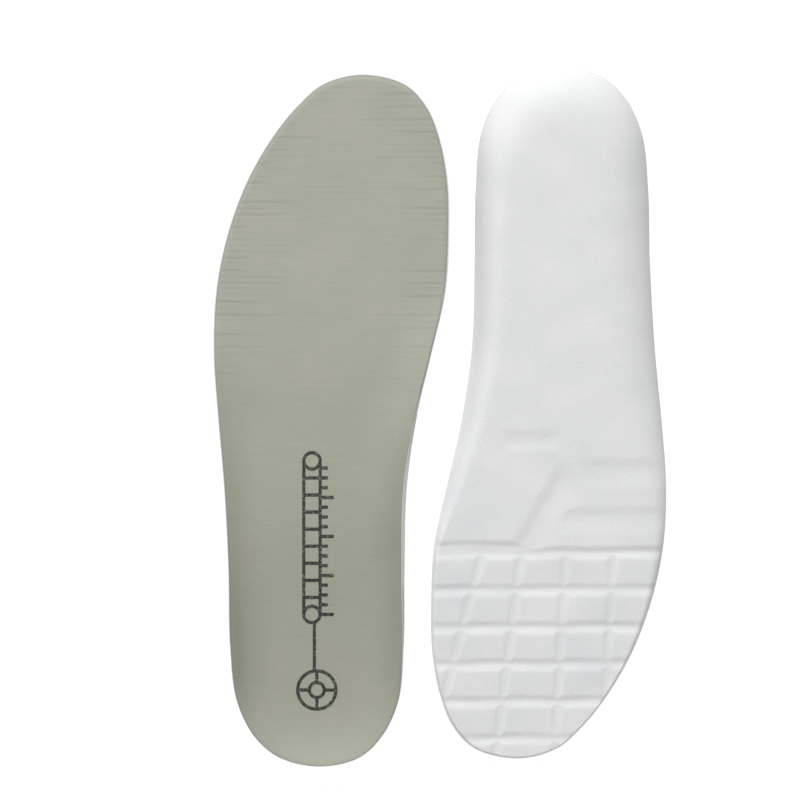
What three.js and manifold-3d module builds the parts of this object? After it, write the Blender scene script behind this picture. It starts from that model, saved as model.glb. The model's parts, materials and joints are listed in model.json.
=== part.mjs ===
// A pair of cushioned boot insoles. The left one lies face up. The right one is
// its mirror image, turned over so that its moulded foam underside shows.
//
// Each insole is a laminate: a moulded foam body with a heel cup, a raised arch
// edge and a grooved forefoot, a thin adhesive film, a cloth cover and a print.
//
// An insole's own axes: x to the inner (big toe) side, y from heel to toe, z up,
// with z = 0 on the flat underside. Millimetres throughout.

import * as THREE from "three";
import { mergeVertices } from "three/addons/utils/BufferGeometryUtils.js";
import Module from "manifold-3d";

const manifold = await Module();
manifold.setup();

// ---------------------------------------------------------------- dimensions

const insoleLength = 284;
const insoleWidth = 96.9;

const foreFoam = 4.5; // foam under the ball and toes
const heelFoam = 6.5; // foam under the heel
const bondFilm = 0.2;
const coverCloth = 0.8;
const printInk = 0.2;
const layerGap = 0.25; // clearance between two bonded layers

const grooveDepth = 1.1; // crosswise flex grooves under the forefoot
const grooveWidth = 3.6;
const groovePitch = 15.3;
const channelDepth = 0.9; // lengthwise channels between the forefoot pads
const channelWidth = 3.6;
const toeLand = 8; // foam left uncut at the toe

const pairSpacing = 102.9; // right insole's axis beside the left one's
const pairShift = 1.8; // right insole's heel beyond the left one's toe

const edgeSteps = 32; // facets along one side, heel to toe
const roundSteps = 4; // facets across each rounded wall

// The sole pattern: width either side of the axis at rows up the insole. It is
// graded to insoleLength and insoleWidth.
const heelTip = { y: 0, x: 2 };
const toeTip = { y: 284, x: 19 };
const patternRows = [
  { y: 3.5, outer: -14.4, inner: 17.7 },
  { y: 12, outer: -24.7, inner: 27 },
  { y: 27, outer: -32.2, inner: 34 },
  { y: 50, outer: -35, inner: 36.2 },
  { y: 80, outer: -35.7, inner: 36.5 },
  { y: 115, outer: -37.6, inner: 37.5 },
  { y: 145, outer: -40.3, inner: 41.9 },
  { y: 170, outer: -42, inner: 47.8 },
  { y: 195, outer: -41, inner: 53.5 },
  { y: 218, outer: -36.4, inner: 54.9 },
  { y: 240, outer: -28.3, inner: 54.4 },
  { y: 258, outer: -18, inner: 51 },
  { y: 271, outer: -7.6, inner: 45.5 },
  { y: 280, outer: 3, inner: 36.5 },
];

// How the edge stands up round the insole, at rows up the pattern: rim is the
// foam's edge height, under the width of the rounding below it, inside the
// width of the slope down to the footbed, cut the foam edge left uncovered.
const innerEdgeRows = [
  { y: 0, rim: 12.5, under: 26, inside: 26, cut: 0.4 },
  { y: 42, rim: 14, under: 15, inside: 20, cut: 0.5 },
  { y: 112, rim: 15, under: 12, inside: 22, cut: 1.4 },
  { y: 165, rim: 9, under: 8, inside: 20, cut: 1.4 },
  { y: 208, rim: foreFoam, under: 1.5, inside: 12, cut: 1.2 },
  { y: 284, rim: foreFoam, under: 1.5, inside: 8, cut: 0.4 },
];
const outerEdgeRows = [
  { y: 0, rim: 12.5, under: 26, inside: 26, cut: 0.4 },
  { y: 42, rim: 14, under: 24, inside: 20, cut: 0.4 },
  { y: 112, rim: 10.5, under: 22, inside: 18, cut: 0.4 },
  { y: 160, rim: 7, under: 15, inside: 16, cut: 0.4 },
  { y: 200, rim: foreFoam, under: 5, inside: 12, cut: 0.4 },
  { y: 284, rim: foreFoam, under: 1.5, inside: 8, cut: 0.4 },
];
const underArc = THREE.MathUtils.degToRad(80); // part of a quarter round used below
const insideArc = THREE.MathUtils.degToRad(65); // and inside the cup

const heelSpine = 34; // where the pattern's middle line starts, from the heel
const toeSpine = 36; // and where it stops, from the toe
const heelFoamEnd = 90; // the heel's thicker foam thins from here
const foreFoamStart = 150; // to here

// Moulded lines under the foam, in pattern places.
const ballLine = 198.6; // the first groove across the whole forefoot
const fanChannels = [
  { from: [34.5, ballLine], to: [51, 262] },
  { from: [18.4, ballLine], to: [29.8, 292] },
  { from: [0.2, ballLine], to: [4.6, 290] },
  { from: [-19.6, ballLine], to: [-16.5, 262] },
];
const midfootGrooves = [
  { from: [-50, 184], to: [6, 184] }, // outer side, behind the ball
  { from: [-34, 165], to: [-5, 165] },
  { from: [3, 152], to: [28, 152] },
];
const archPadEdge = [
  [62, 194.8],
  [16, 194.8],
  [1, 167],
];

// The print: a heel target and a scale up the middle of the footbed.
const printLine = 1.3; // stroke width
const printMiddle = 0.5; // the target's place across the insole
const targetCentre = 31;
const targetRadius = 8.5;
const targetDot = 2.4;
const scaleMiddle = -1.5; // the scale's place across the insole
const scaleStart = 58;
const scaleEnd = 129;
const scaleWidth = 8;
const scaleRungs = 9;
const tickPitch = 4;
const shortTick = 3.2;
const longTick = 5.6;

// -------------------------------------------------------- the insole's shape

const patternLength = toeTip.y - heelTip.y;
const patternWidth =
  Math.max(...patternRows.map((row) => row.inner)) -
  Math.min(...patternRows.map((row) => row.outer));
const gradeX = insoleWidth / patternWidth;
const gradeY = insoleLength / patternLength;

function graded(x, y) {
  return new THREE.Vector3(x * gradeX, y * gradeY, 0);
}

// The closed outline runs from the heel up the inner side and back down the
// outer side, so that the toe tip is half way round.
const outline = new THREE.CatmullRomCurve3(
  [
    graded(heelTip.x, heelTip.y),
    ...patternRows.map((row) => graded(row.inner, row.y)),
    graded(toeTip.x, toeTip.y),
    ...patternRows.toReversed().map((row) => graded(row.outer, row.y)),
  ],
  true,
  "centripetal",
);

// A smooth value between rows that never passes the rows' own values.
function between(rows, key, y) {
  const last = rows.length - 1;
  let i = 0;
  while (i < last - 1 && y > rows[i + 1].y) i += 1;
  const slope = (k) => (rows[k + 1][key] - rows[k][key]) / (rows[k + 1].y - rows[k].y);
  const tangent = (k) => {
    if (k === 0 || k === last) return 0;
    const product = slope(k - 1) * slope(k);
    return product > 0 ? (2 * product) / (slope(k - 1) + slope(k)) : 0;
  };
  const span = rows[i + 1].y - rows[i].y;
  const t = THREE.MathUtils.clamp((y - rows[i].y) / span, 0, 1);
  return (
    rows[i][key] * (1 + 2 * t) * (1 - t) ** 2 +
    rows[i + 1][key] * t * t * (3 - 2 * t) +
    span * t * (1 - t) * (tangent(i) * (1 - t) - tangent(i + 1) * t)
  );
}

// The middle line keeps clear of the round heel and the round toe.
function spineY(y) {
  const fromToe = insoleLength - y;
  if (y < 2 * heelSpine) return heelSpine + y ** 2 / (4 * heelSpine);
  if (fromToe < 2 * toeSpine) return insoleLength - toeSpine - fromToe ** 2 / (4 * toeSpine);
  return y;
}

// One line of the cross section grid: from the edge in to the middle line.
function sectionLine(edge, partner, rows) {
  const spine = new THREE.Vector3(
    (edge.x + partner.x) / 2,
    spineY((edge.y + partner.y) / 2),
    0,
  );
  const reach = spine.distanceTo(edge);
  const patternY = edge.y / gradeY;
  return {
    edge,
    spine,
    reach,
    rim: between(rows, "rim", patternY),
    under: between(rows, "under", patternY),
    inside: between(rows, "inside", patternY),
    cut: between(rows, "cut", patternY),
  };
}

function sectionLines() {
  const inner = [];
  const outer = [];
  for (let i = 0; i <= edgeSteps; i += 1) {
    const share = (0.5 * i) / edgeSteps;
    const innerPoint = outline.getPoint(share);
    const outerPoint = outline.getPoint(1 - share);
    inner.push(sectionLine(innerPoint, outerPoint, innerEdgeRows));
    outer.push(sectionLine(outerPoint, innerPoint, outerEdgeRows));
  }
  return [...inner, ...outer.slice(1, -1).reverse()];
}
const lines = sectionLines();

function pointOn(line, distance, z) {
  const point = line.edge.clone().lerp(line.spine, distance / line.reach);
  point.z = z;
  return point;
}

// Foam thickness under the middle of the foot.
function seatHeight(y) {
  const thinning = THREE.MathUtils.smoothstep(y / gradeY, heelFoamEnd, foreFoamStart);
  return THREE.MathUtils.lerp(heelFoam, foreFoam, thinning);
}

// Part of a quarter ellipse: 0 with no slope where share is 0, 1 where it is 1.
function rise(share, arc) {
  const sine = share * Math.sin(arc);
  return (1 - Math.sqrt(1 - sine * sine)) / (1 - Math.cos(arc));
}

function riseSlope(share, arc) {
  const sine = share * Math.sin(arc);
  return (Math.sin(arc) * sine) / Math.sqrt(1 - sine * sine) / (1 - Math.cos(arc));
}

// Height of the footbed this far in along a section line, with the given
// thickness of layers on the foam. The layers lie square to the slope and are
// trimmed straight down at the edge.
function footbedZ(line, distance, y, layers) {
  const seat = seatHeight(y);
  const run = line.inside - line.cut;
  const share = Math.max(0, (line.inside - distance) / run);
  const climb = line.rim - seat;
  const slope = (climb * riseSlope(share, insideArc)) / run;
  return seat + climb * rise(share, insideArc) + layers * Math.hypot(1, slope);
}

function footbedPoint(line, distance, layers) {
  const point = pointOn(line, distance, 0);
  point.z = footbedZ(line, distance, point.y, layers);
  return point;
}

// The height of the footbed over any place in the plan, from the section line
// that passes nearest to it.
function footbedHeight(x, y, layers) {
  const place = new THREE.Vector3(x, y, 0);
  let best = null;
  for (const line of lines) {
    const inward = line.spine.clone().sub(line.edge).normalize();
    const along = place.clone().sub(line.edge).dot(inward);
    const distance = THREE.MathUtils.clamp(along, line.cut, line.reach);
    const miss = pointOn(line, distance, 0).distanceTo(place);
    if (!best || miss < best.miss) best = { miss, line, distance };
  }
  return footbedZ(best.line, best.distance, y, layers);
}

// Rings of the footbed at a given height above the foam, from the trimmed edge
// down the cup wall to the middle line.
function footbedRings(layers) {
  const rings = [];
  for (let step = roundSteps; step >= 0; step -= 1) {
    const share = Math.sin((insideArc * step) / roundSteps) / Math.sin(insideArc);
    rings.push(
      lines.map((line) =>
        footbedPoint(line, line.inside - (line.inside - line.cut) * share, layers),
      ),
    );
  }
  rings.push(lines.map((line) => footbedPoint(line, line.reach, layers)));
  return rings;
}

// Rings of the foam's outside, from its edge down and in to the middle line.
function undersideRings() {
  const rings = [];
  for (let step = roundSteps; step >= 0; step -= 1) {
    const angle = (underArc * step) / roundSteps;
    const share = Math.sin(angle) / Math.sin(underArc);
    const height = (1 - Math.cos(angle)) / (1 - Math.cos(underArc));
    rings.push(lines.map((line) => pointOn(line, line.under * (1 - share), line.rim * height)));
  }
  rings.push(lines.map((line) => pointOn(line, line.reach, 0)));
  return rings;
}

// A closed body between a lower and an upper stack of rings. Both stacks run
// from the edge to the middle line, where they fold flat, and are split into
// triangles alike, so that layers made this way lie parallel.
function closedSkin(lower, upper) {
  const count = lines.length;
  const positions = [...lower, ...upper].flat().flatMap((point) => point.toArray());
  const index = [];
  const addBand = (outside, inside, facesUp) => {
    for (let i = 0; i < count; i += 1) {
      const next = (i + 1) % count;
      const a = outside * count + i;
      const b = outside * count + next;
      const c = inside * count + next;
      const d = inside * count + i;
      if (facesUp) index.push(a, b, c, a, c, d);
      else index.push(a, c, b, a, d, c);
    }
  };
  for (let i = 0; i + 1 < lower.length; i += 1) addBand(i, i + 1, false);
  for (let i = 0; i + 1 < upper.length; i += 1) {
    addBand(lower.length + i, lower.length + i + 1, true);
  }
  addBand(0, lower.length, true);
  const geometry = new THREE.BufferGeometry();
  geometry.setAttribute("position", new THREE.Float32BufferAttribute(positions, 3));
  geometry.setIndex(index);
  return geometry;
}

// ------------------------------------------------------------ joins and cuts

function toSolid(geometry) {
  const bare = geometry.clone();
  bare.deleteAttribute("normal");
  bare.deleteAttribute("uv");
  const merged = mergeVertices(bare, 1e-4);
  const corners = merged.index.array;
  const triangles = [];
  for (let i = 0; i < corners.length; i += 3) {
    const [a, b, c] = corners.slice(i, i + 3);
    if (a !== b && b !== c && c !== a) triangles.push(a, b, c);
  }
  const mesh = new manifold.Mesh({
    numProp: 3,
    vertProperties: new Float32Array(merged.attributes.position.array),
    triVerts: new Uint32Array(triangles),
  });
  return new manifold.Manifold(mesh);
}

function toGeometry(solid) {
  const mesh = solid.getMesh();
  const geometry = new THREE.BufferGeometry();
  geometry.setAttribute("position", new THREE.BufferAttribute(mesh.vertProperties, 3));
  geometry.setIndex(new THREE.BufferAttribute(mesh.triVerts, 1));
  return geometry;
}

function joined(geometries) {
  const solids = geometries.map(toSolid);
  return solids.slice(1).reduce((sum, solid) => sum.add(solid), solids[0]);
}

// -------------------------------------------------------------- the foam body

// A V-shaped cutter lying along a line under the foam, its point upwards.
function groove(from, to, width, depth) {
  const start = graded(...from);
  const end = graded(...to);
  const run = end.clone().sub(start);
  const skirt = 1; // how far the cutter reaches below the foam
  const half = ((width / 2) * (depth + skirt)) / depth;
  const section = new THREE.Shape([
    new THREE.Vector2(-half, -skirt),
    new THREE.Vector2(half, -skirt),
    new THREE.Vector2(0, depth),
  ]);
  const cutter = new THREE.ExtrudeGeometry(section, { depth: run.length(), bevelEnabled: false });
  cutter.rotateX(Math.PI / 2);
  cutter.rotateZ(Math.atan2(run.y, run.x) + Math.PI / 2);
  return cutter.translate(start.x, start.y, 0);
}

function foamCutters() {
  const cutters = [];
  const pitch = groovePitch / gradeY;
  const side = insoleWidth / gradeX;
  for (let y = ballLine; y * gradeY < insoleLength - toeLand; y += pitch) {
    cutters.push(groove([-side, y], [side, y], grooveWidth, grooveDepth));
  }
  for (const { from, to } of midfootGrooves) {
    cutters.push(groove(from, to, grooveWidth, grooveDepth));
  }
  for (let i = 0; i + 1 < archPadEdge.length; i += 1) {
    cutters.push(groove(archPadEdge[i], archPadEdge[i + 1], grooveWidth, grooveDepth));
  }
  for (const { from, to } of fanChannels) {
    cutters.push(groove(from, to, channelWidth, channelDepth));
  }
  return cutters;
}

function foamBody() {
  const blank = closedSkin(undersideRings(), footbedRings(0));
  return toGeometry(toSolid(blank).subtract(joined(foamCutters())));
}

// ---------------------------------------------------------- film and cover

// A layer of even thickness over the footbed, its underside this far above it.
function footbedLayer(above, thickness) {
  const skin = closedSkin(footbedRings(above), footbedRings(above + thickness));
  return toGeometry(toSolid(skin));
}

const filmAbove = layerGap;
const coverAbove = filmAbove + bondFilm + layerGap;
const printAbove = coverAbove + coverCloth + layerGap;

// ------------------------------------------------------------------ the print

// A flat stroke of ink, laid on the cover point by point.
function ink(shape) {
  const stroke = new THREE.ExtrudeGeometry(shape, { depth: printInk, bevelEnabled: false });
  const position = stroke.attributes.position;
  for (let i = 0; i < position.count; i += 1) {
    const ground = footbedHeight(position.getX(i), position.getY(i), printAbove);
    position.setZ(i, position.getZ(i) + ground);
  }
  return stroke;
}

function ring(centreX, centreY, radius) {
  const shape = new THREE.Shape(circlePoints(centreX, centreY, radius));
  shape.holes.push(new THREE.Path(circlePoints(centreX, centreY, radius - printLine)));
  return shape;
}

function circlePoints(centreX, centreY, radius) {
  const facets = radius > scaleWidth ? 28 : 16;
  return Array.from({ length: facets }, (_, i) => {
    const angle = (2 * Math.PI * i) / facets;
    const x = centreX + radius * Math.cos(angle);
    return new THREE.Vector2(x, centreY + radius * Math.sin(angle));
  });
}

// A straight stroke from one place to another along x or y.
function bar(fromX, fromY, toX, toY) {
  const half = printLine / 2;
  const alongX = fromY === toY;
  const padX = alongX ? 0 : half;
  const padY = alongX ? half : 0;
  return new THREE.Shape([
    new THREE.Vector2(fromX - padX, fromY - padY),
    new THREE.Vector2(toX + padX, fromY - padY),
    new THREE.Vector2(toX + padX, toY + padY),
    new THREE.Vector2(fromX - padX, toY + padY),
  ]);
}

// A ladder with a ring at each end. Its rails run from rung to rung, so that
// they follow the footbed.
function scaleStrokes() {
  const radius = scaleWidth / 2;
  const low = scaleStart + radius;
  const high = scaleEnd - radius;
  const rail = radius - printLine / 2;
  const strokes = [ring(scaleMiddle, low, radius), ring(scaleMiddle, high, radius)];
  for (let i = 0; i < scaleRungs; i += 1) {
    const y = THREE.MathUtils.lerp(low, high, i / scaleRungs);
    const nextY = THREE.MathUtils.lerp(low, high, (i + 1) / scaleRungs);
    const lap = i + 1 < scaleRungs ? printLine / 4 : 0;
    strokes.push(bar(scaleMiddle - rail, y, scaleMiddle - rail, nextY + lap));
    strokes.push(bar(scaleMiddle + rail, y, scaleMiddle + rail, nextY + lap));
    if (i > 0) strokes.push(bar(scaleMiddle - rail, y, scaleMiddle + rail, y));
  }
  for (let i = 0; low + i * tickPitch < high; i += 1) {
    const y = low + i * tickPitch;
    const length = i % 4 === 0 ? longTick : shortTick;
    strokes.push(bar(scaleMiddle + rail, y, scaleMiddle + rail + length, y));
  }
  return strokes;
}

function targetStrokes() {
  const x = printMiddle;
  const y = targetCentre;
  const inner = targetDot + printLine / 2;
  const outer = targetRadius - printLine / 2;
  return [
    ring(x, y, targetRadius),
    ring(x, y, targetDot + printLine),
    bar(x - outer, y, x - inner, y),
    bar(x + inner, y, x + outer, y),
    bar(x, y - outer, x, y - inner),
    bar(x, y + inner, x, y + outer),
  ];
}

function printedMark() {
  const stemX = (printMiddle + scaleMiddle) / 2;
  const stem = bar(stemX, targetCentre + targetRadius - printLine, stemX, scaleStart + printLine);
  return toGeometry(joined([...targetStrokes(), stem, ...scaleStrokes()].map(ink)));
}

// --------------------------------------------------------------- the two sides

const foamWhite = new THREE.MeshStandardMaterial({ color: 0xf0f1f4, roughness: 0.85 });
const filmClear = new THREE.MeshStandardMaterial({ color: 0xe4e2d8, roughness: 0.5 });
const coverSage = new THREE.MeshStandardMaterial({ color: 0xa7a99b, roughness: 0.95 });
const inkDark = new THREE.MeshStandardMaterial({ color: 0x35362f, roughness: 0.8 });

const layers = [
  { name: "foam_body", geometry: foamBody(), material: foamWhite },
  { name: "bond_film", geometry: footbedLayer(filmAbove, bondFilm), material: filmClear },
  { name: "top_cover", geometry: footbedLayer(coverAbove, coverCloth), material: coverSage },
  { name: "printed_mark", geometry: printedMark(), material: inkDark },
];

// The same geometry across the insole's axis, its faces turned to point out.
function mirrored(geometry) {
  const copy = geometry.clone();
  const position = copy.attributes.position;
  for (let i = 0; i < position.count; i += 1) position.setX(i, -position.getX(i));
  const index = copy.index;
  for (let i = 0; i < index.count; i += 3) {
    const second = index.getX(i + 1);
    index.setX(i + 1, index.getX(i + 2));
    index.setX(i + 2, second);
  }
  return copy;
}

function insole(side, shape) {
  const group = new THREE.Group();
  for (const layer of layers) {
    const mesh = new THREE.Mesh(shape(layer.geometry), layer.material);
    mesh.name = `${side}_${layer.name}`;
    group.add(mesh);
  }
  return group;
}

// The plane that a turned-over insole rests on: it touches three points, has
// every other point above it and passes under the weight's centre.
function restingPlane(points, centre) {
  const plane = new THREE.Plane();
  const touches = 0.001;
  for (let i = 0; i < points.length; i += 1) {
    for (let j = i + 1; j < points.length; j += 1) {
      for (let k = j + 1; k < points.length; k += 1) {
        const corners = [points[i], points[j], points[k]];
        plane.setFromCoplanarPoints(...corners);
        if (plane.normal.z < 0) plane.negate();
        if (plane.normal.z < 0.9) continue;
        if (!holdsUp(corners, centre)) continue;
        if (points.every((point) => plane.distanceToPoint(point) > -touches)) return plane;
      }
    }
  }
  return plane.set(new THREE.Vector3(0, 0, 1), 0);
}

// Whether a point stands over a triangle, both seen from above.
function holdsUp(corners, centre) {
  const turns = corners.map((a, i) => {
    const b = corners[(i + 1) % 3];
    return (b.x - a.x) * (centre.y - a.y) - (b.y - a.y) * (centre.x - a.x);
  });
  return turns.every((turn) => turn > 0) || turns.every((turn) => turn < 0);
}

// Turns the right insole over and settles it on its highest edge points.
function turnedOver(group) {
  group.rotation.x = Math.PI;
  group.updateMatrixWorld(true);
  const coverEdge = footbedRings(coverAbove + coverCloth)[0];
  const mirror = new THREE.Matrix4().makeScale(-1, 1, 1);
  const points = coverEdge.map((point) => {
    return point.clone().applyMatrix4(mirror).applyMatrix4(group.matrixWorld);
  });
  const centre = new THREE.Box3().setFromPoints(points).getCenter(new THREE.Vector3());
  const plane = restingPlane(points, centre);
  const settle = new THREE.Quaternion().setFromUnitVectors(
    plane.normal,
    new THREE.Vector3(0, 0, 1),
  );
  group.applyQuaternion(settle);
  group.updateMatrixWorld(true);
  const lowest = new THREE.Box3().setFromObject(group, true).min.z;
  group.position.set(pairSpacing, insoleLength + pairShift, -lowest);
  return group;
}

const pair = new THREE.Group();
pair.add(insole("left", (geometry) => geometry));
pair.add(turnedOver(insole("right", mirrored)));

// The pair stands with the middle of its bounding box over the origin.
pair.updateMatrixWorld(true);
const extent = new THREE.Box3().setFromObject(pair, true);
const middle = extent.getCenter(new THREE.Vector3());
pair.position.set(-middle.x, -middle.y, -extent.min.z);

export default pair;
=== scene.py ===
# %% [markdown]
# # A pair of cushioned boot insoles
# The left insole lies face up and shows its ribbed cloth. The right one is turned over and
# shows its moulded foam. An insole is a laminate of four layers: foam, adhesive film, cloth
# and a print. All four follow one shape, so this lesson describes that shape once as a few
# formulas, and then makes each layer from it with its own fine detail.
#
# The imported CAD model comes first. It fixes the size and the place of everything.

# %% Load the fixed frame
import json

import bmesh
import bpy
import numpy as np
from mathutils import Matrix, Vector


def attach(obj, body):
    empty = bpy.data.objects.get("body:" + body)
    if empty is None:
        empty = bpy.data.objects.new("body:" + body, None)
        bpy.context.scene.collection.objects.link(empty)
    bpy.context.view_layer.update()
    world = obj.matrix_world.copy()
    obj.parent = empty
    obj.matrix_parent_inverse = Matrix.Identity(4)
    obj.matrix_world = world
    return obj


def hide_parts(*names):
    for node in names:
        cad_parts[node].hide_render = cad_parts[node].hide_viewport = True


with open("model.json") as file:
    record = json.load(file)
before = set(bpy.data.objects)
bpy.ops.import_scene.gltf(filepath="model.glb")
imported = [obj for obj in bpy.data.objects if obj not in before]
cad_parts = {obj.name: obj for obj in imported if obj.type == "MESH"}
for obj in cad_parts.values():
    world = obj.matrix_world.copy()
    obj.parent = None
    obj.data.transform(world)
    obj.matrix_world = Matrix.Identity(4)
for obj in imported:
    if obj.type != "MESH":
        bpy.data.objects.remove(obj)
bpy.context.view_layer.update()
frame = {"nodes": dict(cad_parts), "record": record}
MM = 0.001  # the formulas are in millimetres, Blender in metres
print("CAD nodes:", ", ".join(sorted(frame["nodes"])))

# %% [markdown]
# ## The sole pattern
# A pattern cutter draws an insole as widths either side of a straight line from heel to toe.
# The rows below do the same. Here x runs to the inner, big toe side and y from heel to toe.
# A smooth closed curve through the points gives the outline. A Blender curve could hold it
# too, but a formula gives every layer as many points as its own detail needs.

# %% Pattern rows and thicknesses
LENGTH = 284.0
HEEL_TIP = (2.0, 0.0)
TOE_TIP = (19.0, LENGTH)
PATTERN_ROWS = [  # distance from the heel, outer side, inner side
    (3.5, -14.4, 17.7),
    (12, -24.7, 27),
    (27, -32.2, 34),
    (50, -35, 36.2),
    (80, -35.7, 36.5),
    (115, -37.6, 37.5),
    (145, -40.3, 41.9),
    (170, -42, 47.8),
    (195, -41, 53.5),
    (218, -36.4, 54.9),
    (240, -28.3, 54.4),
    (258, -18, 51),
    (271, -7.6, 45.5),
    (280, 3, 36.5),
]
FORE_FOAM = 4.5
HEEL_FOAM = 6.5
FOAM_TOP = 0.15  # heights of the layers' faces, square to the footbed
FILM_BOTTOM = 0.2
FILM_TOP = 0.4
CLOTH_BOTTOM = 0.45
CLOTH_TOP = 1.5
LIP_TOP = 0.86  # the bare foam beside the cloth
print("pattern of", len(PATTERN_ROWS), "rows,", LENGTH, "mm long")

# %% [markdown]
# The edge isn't the same all round. The heel is a cup, the arch side stands up, and from the
# ball forwards the insole is flat. Each row gives the foam's edge height, the width of the
# rounding below it, the width of the slope inside it, and how much cut foam the cloth
# leaves bare.

# %% Edge rows
EDGE_KEYS = ("y", "rim", "under", "inside", "cut")
INNER_EDGE = [
    (0, 12.5, 26, 26, 0.4),
    (42, 14, 15, 20, 0.8),
    (112, 15, 12, 22, 1.6),
    (165, 9, 8, 20, 0.7),
    (208, FORE_FOAM, 1.5, 12, 0.7),
    (284, FORE_FOAM, 1.5, 8, 0.4),
]
OUTER_EDGE = [
    (0, 12.5, 26, 26, 0.4),
    (42, 14, 24, 20, 0.4),
    (112, 10.5, 22, 18, 0.4),
    (160, 7, 15, 16, 0.4),
    (200, FORE_FOAM, 5, 12, 0.4),
    (284, FORE_FOAM, 1.5, 8, 0.4),
]
UNDER_ARC = np.radians(80)
INSIDE_ARC = np.radians(65)
HEEL_SPINE = 34.0  # how far the middle line stays from the heel and the toe
TOE_SPINE = 36.0


def between(rows, key, y):
    """A smooth value between rows that never passes the rows' own values."""
    table = np.array(rows, dtype=float)
    at = table[:, 0]
    value = table[:, EDGE_KEYS.index(key)]
    slope = np.diff(value) / np.diff(at)
    tangent = np.zeros(len(at))
    product = slope[:-1] * slope[1:]
    total = np.where(product > 0, slope[:-1] + slope[1:], 1.0)
    tangent[1:-1] = np.where(product > 0, 2 * product / total, 0.0)
    i = np.clip(np.searchsorted(at, y, side="left") - 1, 0, len(at) - 2)
    span = at[i + 1] - at[i]
    t = np.clip((y - at[i]) / span, 0, 1)
    ends = value[i] * (1 + 2 * t) * (1 - t) ** 2 + value[i + 1] * t * t * (3 - 2 * t)
    return ends + span * t * (1 - t) * (tangent[i] * (1 - t) - tangent[i + 1] * t)


print("arch edge", between(INNER_EDGE, "rim", np.array([112.0]))[0], "mm high")

# %% [markdown]
# The outline is a centripetal Catmull-Rom curve: it passes through every pattern point, and
# the square root of each point distance sets its pace, which keeps it from looping where the
# points are close. It starts at the heel and runs up the inner side.


# %% The outline curve
def outline_points(shares):
    """Points at the given shares, 0 to 1, of the way round the outline."""
    inner = [(row[2], row[0]) for row in PATTERN_ROWS]
    outer = [(row[1], row[0]) for row in reversed(PATTERN_ROWS)]
    knots = np.array([HEEL_TIP, *inner, TOE_TIP, *outer], dtype=float)
    along = (np.asarray(shares) % 1.0) * len(knots)
    i = along.astype(int)
    t = (along - i)[:, None]
    p0, p1, p2, p3 = (knots[(i + step) % len(knots)] for step in (-1, 0, 1, 2))
    d0, d1, d2 = (
        np.sqrt(np.linalg.norm(b - a, axis=1))[:, None]
        for a, b in ((p0, p1), (p1, p2), (p2, p3))
    )
    m1 = d1 * ((p1 - p0) / d0 - (p2 - p0) / (d0 + d1) + (p2 - p1) / d1)
    m2 = d1 * ((p2 - p1) / d1 - (p3 - p1) / (d1 + d2) + (p3 - p2) / d2)
    cubic = 2 * (p1 - p2) + m1 + m2
    square = 3 * (p2 - p1) - 2 * m1 - m2
    return p1 + t * (m1 + t * (square + t * cubic))


def even_shares(count):
    """Shares along half the outline, so that both sides get evenly spaced points."""
    fine = np.linspace(0, 0.5, 4001)
    steps = [
        np.linalg.norm(np.diff(outline_points(side), axis=0), axis=1)
        for side in (fine, 1 - fine)
    ]
    length = np.concatenate([[0], np.cumsum(steps[0] + steps[1])])
    return np.interp(np.linspace(0, length[-1], count + 1), length, fine)


print("outline is", round(float(np.ptp(outline_points(np.linspace(0, 1, 999))[:, 0])), 1), "wide")

# %% [markdown]
# ## Cross sections
# From each outline point a straight line runs in to a middle line. The two sides use the
# same middle points, so a surface built on these lines closes along the middle. The middle
# line stays clear of the round heel and toe, where the lines fan out like spokes.


# %% Section lines
TIP_EASING = 3.0  # the middle line bends to the heel and toe tips over this length


def smooth_step(x, low, high):
    """0 up to low, 1 from high on, and a smooth S between them."""
    t = np.clip((x - low) / (high - low), 0, 1)
    return t * t * (3 - 2 * t)


def spine_y(y):
    """How far up the insole the section line from this height ends."""
    from_toe = LENGTH - y
    heel = HEEL_SPINE + y**2 / (4 * HEEL_SPINE)
    toe = LENGTH - TOE_SPINE - from_toe**2 / (4 * TOE_SPINE)
    return np.where(y < 2 * HEEL_SPINE, heel, np.where(from_toe < 2 * TOE_SPINE, toe, y))


def section_lines(rows):
    """All section lines, from the heel up the inner side and back down the outer side."""
    shares = even_shares(rows)
    inner = outline_points(shares)
    outer = outline_points(1 - shares)
    middle = (inner + outer) / 2
    middle[:, 1] = spine_y(middle[:, 1])
    for tip, end in ((HEEL_TIP, HEEL_SPINE), (TOE_TIP, LENGTH - TOE_SPINE)):
        settled = smooth_step(np.abs(middle[:, 1] - end), 0, TIP_EASING)
        middle[:, 0] = tip[0] + settled * (middle[:, 0] - tip[0])
    there = {"edge": inner, "spine": middle}
    back = {"edge": outer[-2:0:-1], "spine": middle[-2:0:-1]}
    for side, rows in ((there, INNER_EDGE), (back, OUTER_EDGE)):
        for key in EDGE_KEYS[1:]:
            side[key] = between(rows, key, side["edge"][:, 1])
    lines = {key: np.concatenate([there[key], back[key]]) for key in there}
    lines["reach"] = np.linalg.norm(lines["spine"] - lines["edge"], axis=1)
    return lines


def plan_points(lines, distance):
    """Plan places this far in along every line; distance has one row for each ring."""
    share = (distance / lines["reach"])[..., None]
    return lines["edge"] * (1 - share) + lines["spine"] * share


print("middle line from", spine_y(np.array([0.0]))[0], "to", spine_y(np.array([LENGTH]))[0])

# %% [markdown]
# ## Heights
# The walls of the cup are parts of ellipses: level where they leave the footbed and steep
# at the edge. The layers lie square to the slope, so over a steep wall they reach higher.


# %% Footbed and wall heights
HEEL_FOAM_END = 90
FORE_FOAM_START = 150


def seat_height(y):
    """Foam under the middle of the foot: thick at the heel, thinner from the arch on."""
    thinned = smooth_step(y, HEEL_FOAM_END, FORE_FOAM_START)
    return HEEL_FOAM + (FORE_FOAM - HEEL_FOAM) * thinned


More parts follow.
